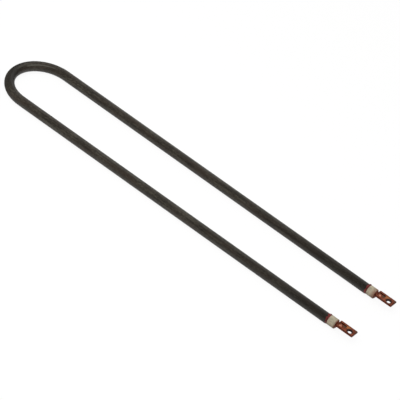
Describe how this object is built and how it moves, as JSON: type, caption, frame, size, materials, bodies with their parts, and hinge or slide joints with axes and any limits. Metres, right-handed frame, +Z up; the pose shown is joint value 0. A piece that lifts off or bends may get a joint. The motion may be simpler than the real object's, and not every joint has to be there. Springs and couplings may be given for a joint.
{
  "type": "tubular heating element",
  "caption": "Hairpin tubular heater: a bent metal sheath with sealed ceramic bushings and flat copper lugs at its leg ends.",
  "frame": {"origin": "middle of the bounding box's underside, on the surface that the sheath lies on", "axes": "+X along the legs from the bend to the terminals, +Y across the hairpin, +Z up"},
  "size_m": [0.3756, 0.066, 0.0093],
  "materials": {
    "sheath_metal": "matt dark oxide",
    "magnesia": "packed powder",
    "coil_alloy": "drawn wire",
    "pin_steel": "bright drawn",
    "silicone": "satin",
    "steatite": "unglazed ceramic",
    "sealing_resin": "cured resin",
    "copper": "tarnished copper"
  },
  "bodies": {
    "root": {"sheath": "sheath_metal", "magnesia_filling": "magnesia", "resistance_coil": "coil_alloy", "terminal_pin_right": "pin_steel", "terminal_pin_left": "pin_steel", "end_seal_right": "silicone", "end_seal_left": "silicone", "ceramic_bushing_right": "steatite", "ceramic_bushing_left": "steatite", "outer_seal_right": "sealing_resin", "outer_seal_left": "sealing_resin", "terminal_tab_right": "copper", "terminal_tab_left": "copper"}
  },
  "joints": []
}
